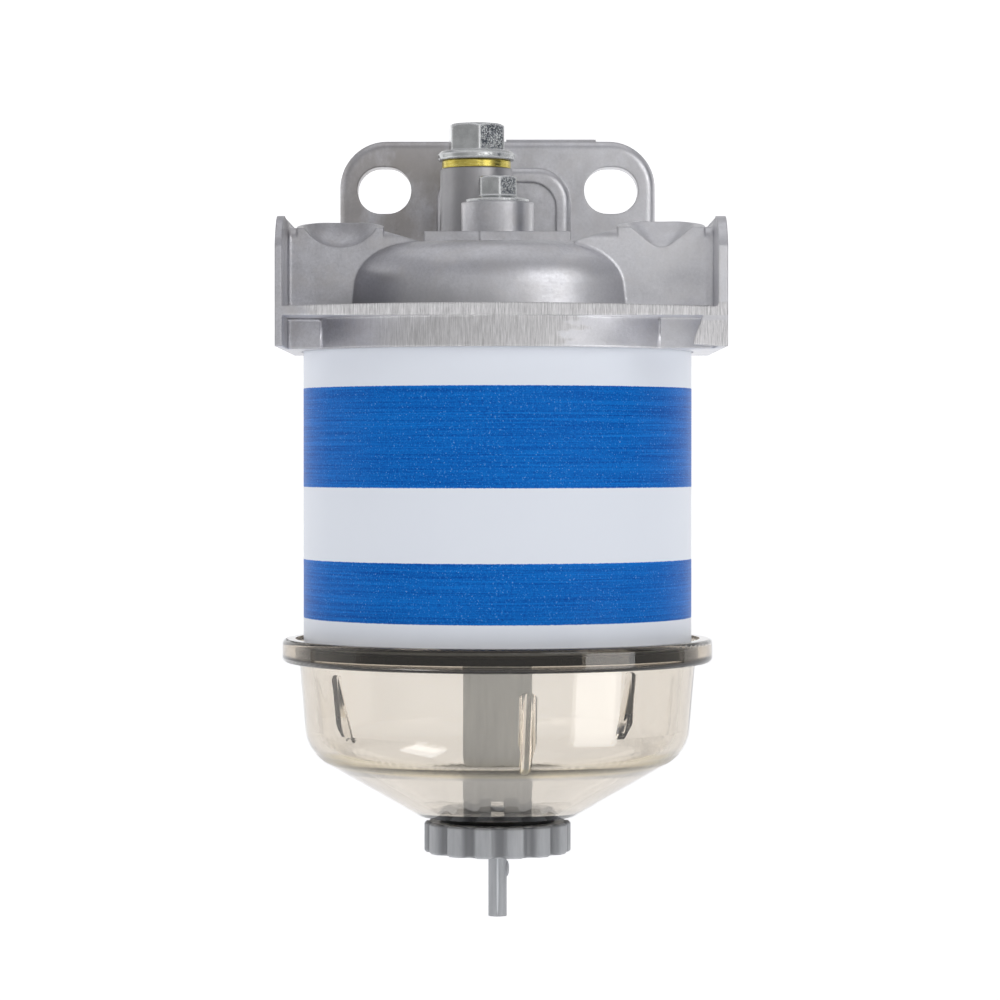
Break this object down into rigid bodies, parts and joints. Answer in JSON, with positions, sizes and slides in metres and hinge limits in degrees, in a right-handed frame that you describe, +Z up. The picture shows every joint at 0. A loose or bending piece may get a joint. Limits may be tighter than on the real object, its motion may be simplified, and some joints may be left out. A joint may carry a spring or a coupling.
{
  "type": "fuel filter assembly",
  "caption": "Diesel fuel filter: cast head with slotted bracket, spin-free canister with a paper element, clear sediment bowl, vent plug and fluted drain knob.",
  "frame": {"origin": "midway between the two bracket slots, on the bracket's rear mounting face", "axes": "+Z up along the filter's axis, +Y out of the bracket's rear face into the engine, +X along the row of slots"},
  "size_m": [0.0959, 0.0977, 0.1773],
  "materials": {
    "cast_aluminium": "as-cast, with sanded joint faces",
    "zinc_steel": "bright zinc plate",
    "yellow_washer": "polished",
    "canister_paint": "gloss white with two printed blue bands",
    "clear_bowl": "clear, smoky amber tint",
    "grey_plastic": "moulded, satin",
    "black_rubber": "matt",
    "tin_steel": "tinned sheet",
    "filter_paper": "resin-treated paper",
    "brass_insert": "turned"
  },
  "bodies": {
    "root": {"filter_head": "cast_aluminium", "centre_bolt": "zinc_steel", "bolt_seal": "black_rubber", "head_seal": "black_rubber", "upper_tube_seal": "black_rubber", "can_shell": "canister_paint", "top_end_plate": "tin_steel", "bottom_end_plate": "tin_steel", "element_core": "tin_steel", "pleated_paper": "filter_paper", "lower_tube_seal": "black_rubber", "bowl_seal": "black_rubber", "sediment_bowl": "clear_bowl", "bowl_centre_tube": "grey_plastic", "threaded_insert": "brass_insert", "hub_seal": "black_rubber"},
    "vent_washer": {"vent_washer": "yellow_washer"},
    "vent_plug": {"vent_plug": "zinc_steel"},
    "drain_washer": {"drain_washer": "black_rubber"},
    "drain_knob": {"drain_knob": "grey_plastic"}
  },
  "joints": [
    {"name": "vent_travel", "type": "slide", "parent": "root", "child": "vent_washer", "axis": [0, 0, 1], "range_m": [0, 0.003]},
    {"name": "vent_turn", "type": "hinge", "parent": "vent_washer", "child": "vent_plug", "pos_m": [-0.0048, -0.032, 0.0029], "axis": [0, 0, 1], "range_deg": [0, 720]},
    {"name": "drain_travel", "type": "slide", "parent": "root", "child": "drain_washer", "axis": [0, 0, -1], "range_m": [0, 0.003]},
    {"name": "drain_turn", "type": "hinge", "parent": "drain_washer", "child": "drain_knob", "pos_m": [0, -0.05, -0.1461], "axis": [0, 0, -1], "range_deg": [0, 720]}
  ],
  "couplings": [
    {"joint": "vent_turn", "follows": "vent_travel", "rad_per_m": 4188.8},
    {"joint": "drain_turn", "follows": "drain_travel", "rad_per_m": 4188.8}
  ]
}
